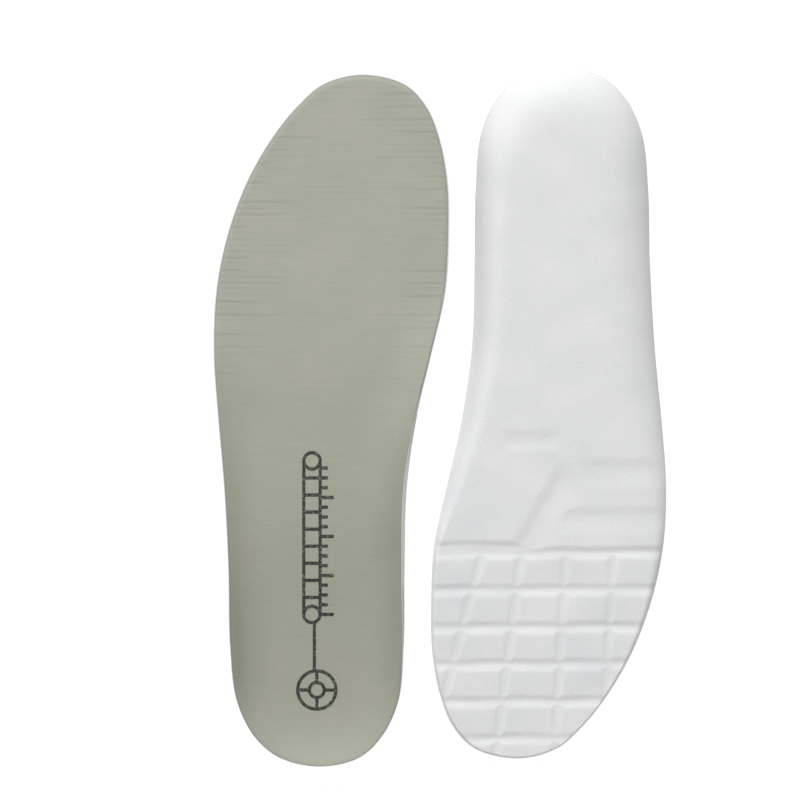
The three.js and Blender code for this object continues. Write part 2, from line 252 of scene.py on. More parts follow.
def rise(share, arc):
    """Height up a part of an ellipse, as a share of the whole wall."""
    sine = share * np.sin(arc)
    return (1 - np.sqrt(1 - sine**2)) / (1 - np.cos(arc))


def rise_slope(share, arc):
    """How fast that height grows with the share."""
    sine = share * np.sin(arc)
    return np.sin(arc) * sine / np.sqrt(1 - sine**2) / (1 - np.cos(arc))


def footbed_z(lines, distance, y, layers):
    """Footbed height with this thickness of layers on the foam."""
    seat = seat_height(y)
    run = lines["inside"] - lines["cut"]
    share = np.clip((lines["inside"] - distance) / run, 0, 1)
    climb = lines["rim"] - seat
    slope = climb * rise_slope(share, INSIDE_ARC) / run
    return seat + climb * rise(share, INSIDE_ARC) + layers * np.hypot(1, slope)


def footbed_at(x, y, layers):
    """The same height over any places in the plan, from the nearest section line."""
    lines = section_lines(rows=120)
    inward = (lines["spine"] - lines["edge"]) / lines["reach"][:, None]
    offset = np.stack([x, y], -1)[:, None, :] - lines["edge"]
    along = np.clip((offset * inward).sum(-1), lines["cut"], lines["reach"])
    miss = np.linalg.norm(offset - inward * along[..., None], axis=-1)
    best = miss.argmin(axis=1)
    chosen = {key: value[best] for key, value in lines.items()}
    return footbed_z(chosen, along[np.arange(len(x)), best], y, layers)


print("seat", seat_height(np.array([30.0, 120.0, 200.0])).round(2), "mm at heel, arch, ball")

# %% [markdown]
# Real sheets and mouldings are never quite even. This small noise adds a few waves in
# seeded random directions. It bends surfaces gently and always gives the same result.


# %% Gentle unevenness
WAVES = 10


def soft_noise(x, y, size, seed):
    """Smooth unevenness between about -1 and 1, with bumps about this size in mm."""
    rng = np.random.default_rng(seed)
    total = np.zeros(np.broadcast(x, y).shape)
    for _ in range(WAVES):
        turn = rng.uniform(0, 2 * np.pi)
        pace = 2 * np.pi / (size * rng.uniform(1.4, 3.0))
        wave = x * np.cos(turn) + y * np.sin(turn)
        total += np.sin(wave * pace + rng.uniform(0, 2 * np.pi))
    return total / np.sqrt(WAVES)


print("noise sample", round(float(soft_noise(np.array([3.0]), np.array([5.0]), 8, 1)[0]), 3))

# %% [markdown]
# ## Two insoles from one shape
# The sole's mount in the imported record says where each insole's flat underside lies and
# which way it faces. The left one needs only a shift. The right one is the mirror image,
# turned over end for end and tipped to match the mount's direction.

# %% Place the two insoles
SOLE_POINT = (2.0, 75.0, 0.0)  # the mount's place on the pattern
mounts = {mount["name"]: mount for mount in frame["record"]["mounts"]}


def placing(side):
    """A function from pattern millimetres to the frame's metres, for one insole."""
    mount = mounts[side + "_sole_face"]
    normal = Vector(mount["axis"]).normalized()
    if side == "left":
        mirror = np.array([1.0, 1.0, 1.0])
        turn = np.eye(3)
    else:
        mirror = np.array([-1.0, 1.0, 1.0])
        tip = Vector((0, 0, 1)).rotation_difference(normal).to_matrix()
        turn = np.array(tip) @ np.diag([1.0, -1.0, -1.0])
    shift = np.array(mount["pos_m"]) - turn @ (np.array(SOLE_POINT) * mirror * MM)
    return lambda points: (points * mirror * MM) @ turn.T + shift


SIDES = {side: placing(side) for side in ("left", "right")}
BODY = {"left": "left_insole", "right": "right_insole"}
print("left sole at", mounts["left_sole_face"]["pos_m"])

# %% [markdown]
# ## Meshes from rings
# Each layer is a stack of rings from the edge in to the middle line, above and below. This
# helper joins the rings with quads and welds the middle. It also stores each point's place
# on the pattern as an attribute. Weave and grain then follow the cloth and the foam in true
# millimetres, whichever way the insole lies.


# %% Mesh helpers
SHARP_ANGLE = np.radians(45)  # cut edges stay crisp, everything else shades smoothly
CROWDED = 0.3 * MM  # welding distances
MATCHING = 0.01 * MM


def ring_faces(outside, inside, count, up):
    """Quads between two rings, given by the number of each ring's first point."""
    here = np.arange(count)
    after = (here + 1) % count
    quad = [outside + here, outside + after, inside + after, inside + here]
    return np.stack(quad if up else quad[::-1], axis=1)


def layer_faces(lower_rings, upper_rings, count):
    """Faces of a closed layer: its underside, its top and the strip along its edge."""
    faces = [ring_faces(i * count, (i + 1) * count, count, False) for i in range(lower_rings - 1)]
    first = lower_rings * count
    for i in range(upper_rings - 1):
        faces.append(ring_faces(first + i * count, first + (i + 1) * count, count, True))
    faces.append(ring_faces(0, first, count, True))
    return np.concatenate(faces)


def make_piece(name, side, places, faces, marks=None, middle=()):
    """A smooth mesh piece, closed along its middle points; marks are values for each point."""
    points = SIDES[side](places)
    if side == "right":
        faces = faces[:, ::-1]
    mesh = bpy.data.meshes.new(name)
    mesh.vertices.add(len(points))
    mesh.vertices.foreach_set("co", points.astype(np.float32).ravel())
    mesh.loops.add(faces.size)
    mesh.loops.foreach_set("vertex_index", faces.astype(np.int32).ravel())
    mesh.polygons.add(len(faces))
    corners = faces.shape[1]
    mesh.polygons.foreach_set("loop_start", np.arange(0, faces.size, corners, dtype=np.int32))
    place = mesh.attributes.new("place", "FLOAT_VECTOR", "POINT")
    place.data.foreach_set("vector", places.astype(np.float32).ravel())
    for key, values in (marks or {}).items():
        mark = mesh.attributes.new(key, "FLOAT", "POINT")
        mark.data.foreach_set("value", values.astype(np.float32).ravel())
    mesh.update(calc_edges=True)
    mesh.validate()
    close_middle(mesh, middle)
    mesh.shade_smooth()
    mesh.set_sharp_from_angle(angle=SHARP_ANGLE)
    piece = bpy.data.objects.new(name, mesh)
    bpy.context.scene.collection.objects.link(piece)
    return piece


def close_middle(mesh, middle):
    """Weld the two sides together, and the crowded points where the lines fan out."""
    work = bmesh.new()
    work.from_mesh(mesh)
    work.verts.ensure_lookup_table()
    crowded = [work.verts[i] for i in middle]
    bmesh.ops.remove_doubles(work, verts=crowded, dist=CROWDED)
    bmesh.ops.remove_doubles(work, verts=work.verts, dist=MATCHING)
    work.to_mesh(mesh)
    work.free()


def middle_points(lower_rings, upper_rings, count):
    """Numbers of the points on the middle line, in the last ring of each half."""
    last = (lower_rings, lower_rings + upper_rings)
    return [ring * count - count + i for ring in last for i in range(count)]


print("mesh helpers ready")

# %% [markdown]
# ## Under the forefoot
# The mould leaves rows of soft pads under the ball and toes, so that the foam bends there.
# Each pad rises quickly from the groove behind it, then falls away slowly towards the toe.
# Shallower channels fan out along the foot between the pads. Behind the ball, the arch pad
# ends in a slanting step, with lower steps beside and behind it. All of it is one depth
# over the plan, by which the underside's points move.

# %% Depths of the moulded lines
BALL_LINE = 198.6
GROOVE_PITCH = 15.3
GROOVE_DEPTH = 0.6
CHANNEL_DEPTH = 0.68 * GROOVE_DEPTH
CHANNEL_HALF = 3.0
GROOVES_AFTER_BALL = 5
PAD_SAG = 0.22  # how far a pad falls towards the toe, as a share of the groove's depth
ARCH_PAD_END = 193.4
OUTER_PAD_END = 196.0
FAN_CHANNELS = [  # from the ball line to the toe
    ((34.5, BALL_LINE), (51, 262)),
    ((18.4, BALL_LINE), (29.8, 292)),
    ((0.2, BALL_LINE), (4.6, 290)),
    ((-19.6, BALL_LINE), (-16.5, 262)),
]
MIDFOOT_STEPS = [  # from, to, steep side's width, gentle side's width, depth
    ((6, 184.4), (-52, 184.4), 5.2, 8.0, 0.36),
    ((-5, 164.8), (-52, 164.8), 5.6, 9.0, 0.38),
    ((26, 152.6), (3, 152.6), 5.2, 5.2, 0.32),
    ((18.4, 199), (-1, 164.5), 6.4, 12.0, 0.6),
]


def off_line(x, y, start, end):
    """Distance from a straight stretch, place along it, and distance to its left."""
    a = np.array(start, dtype=float)
    run = np.array(end, dtype=float) - a
    along = ((x - a[0]) * run[0] + (y - a[1]) * run[1]) / (run @ run)
    left = ((y - a[1]) * run[0] - (x - a[0]) * run[1]) / np.hypot(*run)
    t = np.clip(along, 0, 1)
    return np.hypot(x - a[0] - t * run[0], y - a[1] - t * run[1]), along, left


def pad_rows(x, y):
    """Depth across the pads, as a share: one groove for each pitch from the ball line."""
    along = (y - BALL_LINE) / GROOVE_PITCH
    s = along - np.floor(along)
    behind = 1 - smooth_step(s, 0.0, 0.23)
    sag = PAD_SAG * smooth_step(s, 0.25, 0.9)
    rows = np.maximum(behind, sag + (1 - PAD_SAG) * smooth_step(s, 0.81, 0.99))
    last_groove = BALL_LINE + GROOVES_AFTER_BALL * GROOVE_PITCH
    rows = np.where(y > last_groove, behind * (y < last_groove + GROOVE_PITCH / 2), rows)
    pad_end = ARCH_PAD_END + (OUTER_PAD_END - ARCH_PAD_END) * smooth_step(-x, -17, -13)
    first = smooth_step(y, pad_end - 0.4, pad_end + 2.6)
    return np.where(y < BALL_LINE, first, rows)


def mould_depth(x, y):
    """How deep the moulded lines cut into the underside, in millimetres."""
    uneven = 1 + 0.13 * soft_noise(x, y, 11, 14)
    depth = GROOVE_DEPTH * pad_rows(x, y + 0.18 * soft_noise(x, y, 13, 15))
    for start, end in FAN_CHANNELS:
        aside, _, _ = off_line(x, y, start, end)
        channel = 1 - smooth_step(aside, 0.5, CHANNEL_HALF)
        depth = np.maximum(depth, CHANNEL_DEPTH * channel)
    for start, end, steep, gentle, deep in MIDFOOT_STEPS:
        aside, along, left = off_line(x, y, start, end)
        half = gentle + (steep - gentle) * smooth_step(left, -0.6, 0.6)
        ends = smooth_step(along, -0.06, 0.14) * (1 - smooth_step(along, 0.8, 1.1))
        side = (1 - smooth_step(aside, 0.6, half)) * ends
        depth = np.maximum(depth, deep * side * (y < BALL_LINE))
    return depth * uneven


print("pad crest and groove:", pad_rows(np.zeros(2), np.array([203.0, 213.9])).round(2))

# %% [markdown]
# ## The foam body
# One moulding, white and matt. Its underside carries the pads, its outer wall rounds up to
# the edge, and a thin cut strip shows where it was trimmed. The pads need points about a
# millimetre apart or closer, so the whole underside gets them. The pads differ a little in
# depth, and the skin waves by a tenth of a millimetre.


# %% Build the foam
SOFT_START = 0.6  # eases the rounding in, so that no line shows where it starts
WALL_RINGS = 12
FLAT_RINGS = 64
SKIN_LIFT = 0.12  # keeps the wavy skin on the foam's side of the flat sole
SKIN_EASING = 6.0  # from the edge, over this width
LIP_SHARES = (0.85, 0.97)  # where the bare strip's top starts and stops, as shares of it


def arc_distances(lines, rings):
    """Ring distances down the outer rounding, and each ring's share of the edge height."""
    angle = np.linspace(UNDER_ARC, 0, rings)
    share = np.sin(angle) / np.sin(UNDER_ARC)
    height = (1 - np.cos(angle)) / (1 - np.cos(UNDER_ARC)) * share**SOFT_START
    return lines["under"] * (1 - share[:, None]), height[:, None] * np.ones_like(lines["under"])


def foam_rings(lines):
    """The underside: down the rounded wall, then in over the sole to the middle line."""
    wall, height = arc_distances(lines, WALL_RINGS)
    share = np.linspace(0, 1, FLAT_RINGS + 1)[1:, None]
    flat = lines["under"] * (1 - share) + lines["reach"] * share
    distance = np.concatenate([wall, flat])
    height = np.concatenate([height, np.zeros_like(flat)])
    plan = plan_points(lines, distance)
    x, y = plan[..., 0], plan[..., 1]
    skin = 0.06 * soft_noise(x, y, 9, 11) + 0.05 * soft_noise(x, y, 26, 12)
    inset = smooth_step(distance, 0, SKIN_EASING)
    z = lines["rim"] * height + (1 - height) * mould_depth(x, y) + inset * (skin + SKIN_LIFT)
    return np.concatenate([plan, z[..., None]], axis=-1)


def footbed_rings(lines, layers, wall_rings, seat_rings):
    """One face of a layer, from its cut edge down the wall and in, with the distances in."""
    angle = np.linspace(INSIDE_ARC, 0, wall_rings)
    share = (np.sin(angle) / np.sin(INSIDE_ARC))[:, None]
    wall = lines["inside"] - (lines["inside"] - lines["cut"]) * share
    part = np.linspace(0, 1, seat_rings + 1)[1:, None]
    seat = lines["inside"] * (1 - part) + lines["reach"] * part
    distance = np.concatenate([wall, seat])
    plan = plan_points(lines, distance)
    z = footbed_z(lines, distance, plan[..., 1], layers)
    return np.concatenate([plan, z[..., None]], axis=-1), distance


def trimmed_lip(lines):
    """Where the trim leaves foam bare, it stands level with the cloth beside it."""
    wide = smooth_step(lines["cut"], 0.45, 1.2)
    lip = FOAM_TOP + (LIP_TOP - FOAM_TOP) * wide
    rings = []
    for share in LIP_SHARES:
        plan = plan_points(lines, share * lines["cut"])
        height = footbed_z(lines, lines["cut"], plan[:, 1], lip)
        rings.append(np.concatenate([plan, height[:, None]], axis=1))
    return np.array(rings)


def build_foam(side):
    lines = section_lines(rows=500)
    count = len(lines["reach"])
    lower = foam_rings(lines)
    upper, _ = footbed_rings(lines, FOAM_TOP, wall_rings=5, seat_rings=3)
    upper = np.concatenate([trimmed_lip(lines), upper])
    rings = np.concatenate([lower, upper])
    cut = np.zeros(rings.shape[:2])
    cut[[0, len(lower), len(lower) + 1]] = 1
    faces = layer_faces(len(lower), len(upper), count)
    middle = middle_points(len(lower), len(upper), count)
    marks = {"cut_edge": cut}
    piece = make_piece(side + "_foam", side, rings.reshape(-1, 3), faces, marks, middle)
    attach(piece, BODY[side])
    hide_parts(side + "_foam_body")
    return piece


foams = {side: build_foam(side) for side in SIDES}
print("foam:", len(foams["left"].data.vertices), "points each")

# %% [markdown]
# ## The adhesive film
# A hot-melt film bonds the cloth to the foam. It is a fifth of a millimetre thick and shows
# only as a line along the edge. It follows the same footbed formula, a little above the foam.


# %% Build the film
def build_film(side):
    lines = section_lines(rows=220)
    lower, _ = footbed_rings(lines, FILM_BOTTOM, wall_rings=9, seat_rings=5)
    upper, _ = footbed_rings(lines, FILM_TOP, wall_rings=9, seat_rings=5)
    rings = np.concatenate([lower, upper])
    faces = layer_faces(len(lower), len(upper), len(lines["reach"]))
    middle = middle_points(len(lower), len(upper), len(lines["reach"]))
    piece = make_piece(side + "_film", side, rings.reshape(-1, 3), faces, None, middle)
    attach(piece, BODY[side])
    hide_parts(side + "_bond_film")
    return piece


films = {side: build_film(side) for side in SIDES}
print("film:", len(films["left"].data.polygons), "faces each")

# %% [markdown]
# ## The cloth cover
# The cloth is woven with fine ribs across the foot. Where it was pressed over the heel cup
# the ribs are flattened. Near the toe and the edges they stand out, here and there as a
# sharper crease. The cloth is bonded all over, so a cloth simulation would find nothing to
# drape. The ribs and creases are small moves of the mesh's points instead.

# %% Ribs and creases
RIB_PITCH = 2.6
RIB_HALF = 0.5
RIB_ROWS = 160  # more than the insole has room for


def edge_gaps(x, y):
    """Distance across the foot to the outer and the inner outline."""
    share = np.linspace(0, 0.5, 600)
    inner, outer = outline_points(share), outline_points(1 - share)
    return x - np.interp(y, outer[:, 1], outer[:, 0]), np.interp(y, inner[:, 1], inner[:, 0]) - x


def rib_creases(x, y, row, seed):
    """How sharply each valley shows: most start at the edge and fade inwards."""
    rng = np.random.default_rng(seed)
    each = (2, RIB_ROWS)  # one for either side, or one for either wave
    reach = rng.uniform(5, 36, each)
    sharp = rng.uniform(0.1, 1.0, each) ** 1.4
    pace = 2 * np.pi / rng.uniform(26, 70, each)
    phase = rng.uniform(0, 2 * np.pi, each)
    row = np.clip(row, 0, RIB_ROWS - 1)
    from_edge = np.zeros(x.shape)
    for side, gap in enumerate(edge_gaps(x, y)):
        fade = 1 - smooth_step(gap / reach[side, row], 0.25, 1)
        from_edge = np.maximum(from_edge, sharp[side, row] * fade)
    wave = np.sin(x * pace[0, row] + phase[0, row]) + np.sin(x * pace[1, row] + phase[1, row])
    return from_edge, smooth_step(wave / 2, 0.25, 1)


def cover_relief(x, y, seed):
    """Height of ribs and creases on the cloth, and the painted shade in the sharper valleys."""
    wavy = y + 0.25 * soft_noise(x, y, 30, seed)
    row = np.rint(wavy / RIB_PITCH).astype(int)
    off = wavy - row * RIB_PITCH
    valley_and_shade = np.exp(-((off / RIB_HALF) ** 2))
    crest = np.exp(-(((off + 1.7 * RIB_HALF) / RIB_HALF) ** 2))
    shows = 0.12 + 0.88 * smooth_step(y, 125, 195)
    edge_crease, streak = rib_creases(x, y, row, seed + 1)
    streak = streak * (0.15 + 0.6 * smooth_step(y, 225, 262))
    depth = shows * (0.01 + 0.1 * edge_crease + 0.03 * streak)
    weave = 0.01 * soft_noise(x, y, 3.5, seed + 2)
    swell = 0.05 * soft_noise(x, y, 22, seed + 3)
    # painted shade in the valleys, strongest where the creases are sharp
    crease_shade = valley_and_shade * shows * np.maximum(edge_crease, 0.5 * streak)
    return weave + swell + depth * (0.4 * crest - valley_and_shade), crease_shade


print("rib pitch", RIB_PITCH, "mm")

# %% [markdown]
# The cloth lies on the film with its own thickness square to the slope. Towards its cut edge
# it gets thinner. Two marks go with the points for the material: painted shade in the valleys
# between the ribs and along the narrow cut edge, and painted shade on the walls beside the heel.

# %% Build the cloth
EDGE_CLOTH_TOP = 0.9  # the press thins the cloth where it was cut
COVER_SEEDS = {"left": 21, "right": 41}


def steepness(lines, distance):
    """How much taller a layer is, measured upright, where the footbed slopes."""
    flat = footbed_z(lines, distance, np.zeros_like(distance), 0.0)
    return footbed_z(lines, distance, np.zeros_like(distance), 1.0) - flat


def wall_shade_share(lines, distance, y):
    """How much painted shade darkens the cloth on the walls beside the heel, from 0 to 1."""
    share = np.clip((lines["inside"] - distance) / lines["inside"], 0, 1)
    beside = smooth_step(y, 18, 45) * (1 - smooth_step(y, 105, 160))
    return smooth_step(share, 0.1, 0.75) * beside


def build_cover(side):
    lines = section_lines(rows=700)
    count = len(lines["reach"])
    lower, _ = footbed_rings(lines, CLOTH_BOTTOM, wall_rings=4, seat_rings=2)
    upper, distance = footbed_rings(lines, CLOTH_TOP, wall_rings=16, seat_rings=42)
    relief, valley_and_shade = cover_relief(upper[..., 0], upper[..., 1], COVER_SEEDS[side])
    from_edge = distance - lines["cut"]
    edge_press_and_wall_shade = (CLOTH_TOP - EDGE_CLOTH_TOP) * (1 - smooth_step(from_edge, -0.5, 2.2))
    upper[..., 2] += relief * smooth_step(from_edge, 0, 1.5) - edge_press_and_wall_shade * steepness(lines, distance)
    rings = np.concatenate([lower, upper])
    faces = layer_faces(len(lower), len(upper), count)
    # painted shade along the cut edge where the trim is narrow, joined to the painted shade in the
    # valleys
    cut_edge_shade = 1 - smooth_step(from_edge, 0.2, 0.9)
    narrow_trim = 1 - smooth_step(lines["cut"], 0.7, 1.2)
    valley_and_shade = np.maximum(valley_and_shade, cut_edge_shade * narrow_trim)
    plain = np.zeros(lower.shape[:2])
    # painted shade on the walls beside the heel cup
    walls = wall_shade_share(lines, distance, upper[..., 1])
    marks = {
        "valley_and_shade": np.concatenate([plain, valley_and_shade]),
        "edge_press_and_wall_shade": np.concatenate([plain, walls]),
    }
    middle = middle_points(len(lower), len(upper), count)
    piece = make_piece(side + "_cover", side, rings.reshape(-1, 3), faces, marks, middle)
    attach(piece, BODY[side])
    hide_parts(side + "_top_cover")
    return piece


covers = {side: build_cover(side) for side in SIDES}
print("cloth:", len(covers["left"].data.polygons), "faces each")

# %% [markdown]
# ## The print
# A round heel target, a stem, and a ladder scale with ticks up the middle of the foot. The
# strokes are easiest to describe by their distance functions: a place is inked where any
# stroke's distance is below zero. A fine grid is cut to that shape by moving its border
# points on to the line, which keeps the rings round. The result is laid on the ribbed cloth.

# %% Strokes of the print
STROKE = 1.3
TARGET = (0.5, 31.0, 8.5, 2.4)  # place, outer radius, and the open middle's radius
SCALE_MIDDLE = -1.5
SCALE_START = 58.0
SCALE_END = 129.0
SCALE_WIDTH = 8.0
SCALE_RUNGS = 9
TICK_PITCH = 4.0
SHORT_TICK = 3.2
LONG_TICK = 5.6
LONG_TICK_EVERY = 4
INK = 0.1
INK_CLEARANCE = 0.03
INK_CELL = 0.22
INK_BOX = ((-10, 11), (20, 132))  # the print lies within, across and along the foot


def ring_stroke(x, y, centre_x, centre_y, radius):
    """Distance to a ring with this outer radius."""
    return np.abs(np.hypot(x - centre_x, y - centre_y) - radius + STROKE / 2) - STROKE / 2


def bar_stroke(x, y, from_x, from_y, to_x, to_y):
    """Distance to an upright or level bar."""
    half_x = abs(to_x - from_x) / 2 + (STROKE / 2 if from_x == to_x else 0)
    half_y = abs(to_y - from_y) / 2 + (STROKE / 2 if from_y == to_y else 0)
    out_x = np.abs(x - (from_x + to_x) / 2) - half_x
    out_y = np.abs(y - (from_y + to_y) / 2) - half_y
    return np.maximum(out_x, out_y)


def print_strokes(x, y):
    """Distance to the nearest stroke, negative inside it."""
    tx, ty, radius, hole = TARGET
    low = SCALE_START + SCALE_WIDTH / 2
    high = SCALE_END - SCALE_WIDTH / 2
    rail = SCALE_WIDTH / 2 - STROKE / 2
    left, right = SCALE_MIDDLE - rail, SCALE_MIDDLE + rail
    inner, outer = hole + STROKE / 2, radius - STROKE / 2
    stem = (tx + SCALE_MIDDLE) / 2
    strokes = [
        ring_stroke(x, y, tx, ty, radius),
        ring_stroke(x, y, tx, ty, hole + STROKE),
        bar_stroke(x, y, tx - outer, ty, tx - inner, ty),
        bar_stroke(x, y, tx + inner, ty, tx + outer, ty),
        bar_stroke(x, y, tx, ty - outer, tx, ty - inner),
        bar_stroke(x, y, tx, ty + inner, tx, ty + outer),
        bar_stroke(x, y, stem, ty + radius - STROKE, stem, SCALE_START + STROKE),
        ring_stroke(x, y, SCALE_MIDDLE, low, SCALE_WIDTH / 2),
        ring_stroke(x, y, SCALE_MIDDLE, high, SCALE_WIDTH / 2),
        bar_stroke(x, y, left, low, left, high),
        bar_stroke(x, y, right, low, right, high),
    ]
    for rung in range(1, SCALE_RUNGS):
        at = low + (high - low) * rung / SCALE_RUNGS
        strokes.append(bar_stroke(x, y, left, at, right, at))
    for tick, at in enumerate(np.arange(low, high, TICK_PITCH)):
        reach = SHORT_TICK if tick % LONG_TICK_EVERY else LONG_TICK
        strokes.append(bar_stroke(x, y, right, at, right + reach, at))
    return np.minimum.reduce(strokes)


print("ink at the target's rim:", print_strokes(np.array([8.4]), np.array([31.0]))[0] < 0)

# %% [markdown]
# Each grid cell with ink on all four corners becomes a quad of the top and one of the bottom.
# An edge that only one cell has is a border, and gets a wall.

# %% Build the print
def ink_grid():
    """Places and quads of the inked cells, with the border moved on to the strokes' edge."""
    xs, ys = (np.arange(start, end, INK_CELL) for start, end in INK_BOX)
    x, y = np.meshgrid(xs, ys, indexing="ij")
    away = print_strokes(x, y)
    inked = away < INK_CELL / 2
    step = 0.02
    for _ in range(3):
        away = print_strokes(x, y)
        near = np.abs(away) < 0.7 * INK_CELL
        slope_x = (print_strokes(x + step, y) - print_strokes(x - step, y)) / (2 * step)
        slope_y = (print_strokes(x, y + step) - print_strokes(x, y - step)) / (2 * step)
        x = x - np.where(near, away * slope_x, 0)
        y = y - np.where(near, away * slope_y, 0)
    number = np.arange(x.size).reshape(x.shape)
    corners = [number[:-1, :-1], number[1:, :-1], number[1:, 1:], number[:-1, 1:]]
    whole = inked[:-1, :-1] & inked[1:, :-1] & inked[1:, 1:] & inked[:-1, 1:]
    quads = np.stack([corner[whole] for corner in corners], axis=1)
    used, quads = np.unique(quads, return_inverse=True)
    return x.ravel()[used], y.ravel()[used], quads.reshape(-1, 4)


def closed_slab(quads, count):
    """The quads as a top, a copy of them as a bottom, and walls where they end."""
    edges = np.concatenate([quads[:, [i, (i + 1) % 4]] for i in range(4)])
    key = np.sort(edges, axis=1)
    _, first, times = np.unique(key, axis=0, return_index=True, return_counts=True)
    border = edges[first[times == 1]]
    walls = np.stack([border[:, 1], border[:, 0], border[:, 0] + count, border[:, 1] + count], 1)
    return np.concatenate([quads, quads[:, ::-1] + count, walls])


def build_print(side):
    x, y, quads = ink_grid()
    relief, _ = cover_relief(x, y, COVER_SEEDS[side])
    ground = footbed_at(x, y, CLOTH_TOP) + relief + INK_CLEARANCE
    top = np.stack([x, y, ground + INK], axis=1)
    bottom = np.stack([x, y, ground], axis=1)
    faces = closed_slab(quads, len(x))
    piece = make_piece(side + "_print", side, np.concatenate([top, bottom]), faces)
    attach(piece, BODY[side])
    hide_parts(side + "_printed_mark")
    return piece


prints = {side: build_print(side) for side in SIDES}
print("print:", len(prints["left"].data.polygons), "faces each")

# %% [markdown]
# ## Materials
# The textures are all nodes. They read the stored pattern place, in millimetres, so the
# weave has its true size on both insoles.


# %% Material helpers
SOCKETS = {
    "base_color": "Base Color",
    "specular": "Specular IOR Level",
    "sheen": "Sheen Weight",
    "sheen_roughness": "Sheen Roughness",
    "subsurface": "Subsurface Weight",
    "glow_color": "Emission Color",
    "glow": "Emission Strength",
}


def new_material(name, roughness, **sockets):
    material = bpy.data.materials.new(name)
    material.use_nodes = True
    nodes = material.node_tree.nodes
    shader = nodes["Principled BSDF"]
    shader.inputs["Roughness"].default_value = roughness
    for key, value in sockets.items():
        shader.inputs[SOCKETS[key]].default_value = value
    return material, nodes, material.node_tree.links, shader


def place_on_pattern(nodes):
    place = nodes.new("ShaderNodeAttribute")
    place.attribute_name = "place"
    return place.outputs["Vector"]


def stretched(nodes, links, source, scale):
    mapping = nodes.new("ShaderNodeMapping")
    mapping.inputs["Scale"].default_value = scale
    links.new(source, mapping.inputs["Vector"])
    return mapping.outputs["Vector"]


def noise_at(nodes, links, vector, scale, detail=2.0, roughness=0.5):
    noise = nodes.new("ShaderNodeTexNoise")
    noise.inputs["Scale"].default_value = scale
    noise.inputs["Detail"].default_value = detail
    noise.inputs["Roughness"].default_value = roughness
    links.new(vector, noise.inputs["Vector"])
    return noise.outputs["Fac"]


def ramp(nodes, links, factor, *stops):
    """Colours at positions, from the factor; each stop is (position, colour)."""
    node = nodes.new("ShaderNodeValToRGB")
    while len(node.color_ramp.elements) < len(stops):
        node.color_ramp.elements.new(0.5)
    for element, (position, colour) in zip(node.color_ramp.elements, stops):
        element.position = position
        element.color = (*colour, 1)
    links.new(factor, node.inputs["Fac"])
    return node.outputs["Color"]


def mixed(nodes, links, factor, first, second, blend="MIX"):
    node = nodes.new("ShaderNodeMix")
    node.data_type = "RGBA"
    node.blend_type = blend
    sockets = {socket.name: socket for socket in node.inputs if socket.enabled}
    for key, value in (("Factor", factor), ("A", first), ("B", second)):
        connect(links, value, sockets[key])
    return next(socket for socket in node.outputs if socket.enabled)


def connect(links, value, socket):
    if isinstance(value, bpy.types.NodeSocket):
        links.new(value, socket)
    elif isinstance(value, (int, float)):
        socket.default_value = value
    else:
        socket.default_value = (*value, 1)


def sums(nodes, links, operation, first, second):
    node = nodes.new("ShaderNodeMath")
    node.operation = operation
    for socket, value in zip(node.inputs, (first, second)):
        connect(links, value, socket)
    return node.outputs["Value"]


def bumped(nodes, links, shader, height, strength, distance):
    bump = nodes.new("ShaderNodeBump")
    bump.inputs["Strength"].default_value = strength
    bump.inputs["Distance"].default_value = distance
    links.new(height, bump.inputs["Height"])
    links.new(bump.outputs["Normal"], shader.inputs["Normal"])


print("material helpers ready")

# %% [markdown]
# ### Foam
# Moulded closed-cell foam has a matt skin with very fine cells, some of them a little larger
# and open. Where it was trimmed, the cut cells make a rougher, slightly duller strip. The
# skin is white with faint cloudy patches where the mould gripped it for longer.


# %% Foam material
def foam_material():
    material, nodes, links, shader = new_material(
        "moulded_foam", 0.62, specular=0.35, sheen=0.06, sheen_roughness=0.5
    )
    place = place_on_pattern(nodes)
    clouds = noise_at(nodes, links, place, 0.035, detail=3)
    skin = ramp(nodes, links, clouds, (0.3, (0.713, 0.72, 0.727)), (0.7, (0.767, 0.769, 0.768)))
    cells = noise_at(nodes, links, place, 1.6, detail=4, roughness=0.65)
    speckle = ramp(nodes, links, cells, (0.35, (0.93, 0.93, 0.935)), (0.55, (1, 1, 1)))
    skin = mixed(nodes, links, 1.0, skin, speckle, "MULTIPLY")
    edge = nodes.new("ShaderNodeAttribute")
    edge.attribute_name = "cut_edge"
    trimmed = mixed(nodes, links, edge.outputs["Fac"], skin, (0.66, 0.65, 0.66))
    links.new(trimmed, shader.inputs["Base Color"])
    fine = noise_at(nodes, links, place, 2.4, detail=3, roughness=0.6)
    dull = ramp(nodes, links, clouds, (0.3, (0.7, 0.7, 0.7)), (0.7, (0.56, 0.56, 0.56)))
    links.new(dull, shader.inputs["Roughness"])
    bumped(nodes, links, shader, fine, 0.35, 0.00012)
    return material


foam_skin = foam_material()
for foam in foams.values():
    foam.data.materials.append(foam_skin)
print("foam material on", len(foams), "pieces")

# %% [markdown]
# ### Film
# The hot-melt film is milky and a little glossy, with a faint tint where it has wetted out.


# %% Film material
def film_material():
    material, nodes, links, shader = new_material(
        "hot_melt_film", 0.4, specular=0.5, subsurface=0.15
    )
    place = place_on_pattern(nodes)
    wetting = noise_at(nodes, links, place, 0.25, detail=4)
    tint = ramp(nodes, links, wetting, (0.35, (0.6, 0.59, 0.55)), (0.65, (0.74, 0.73, 0.69)))
    links.new(tint, shader.inputs["Base Color"])
    bumped(nodes, links, shader, wetting, 0.2, 0.0001)
    return material


film_skin = film_material()
for film in films.values():
    film.data.materials.append(film_skin)
print("film material on", len(films), "pieces")
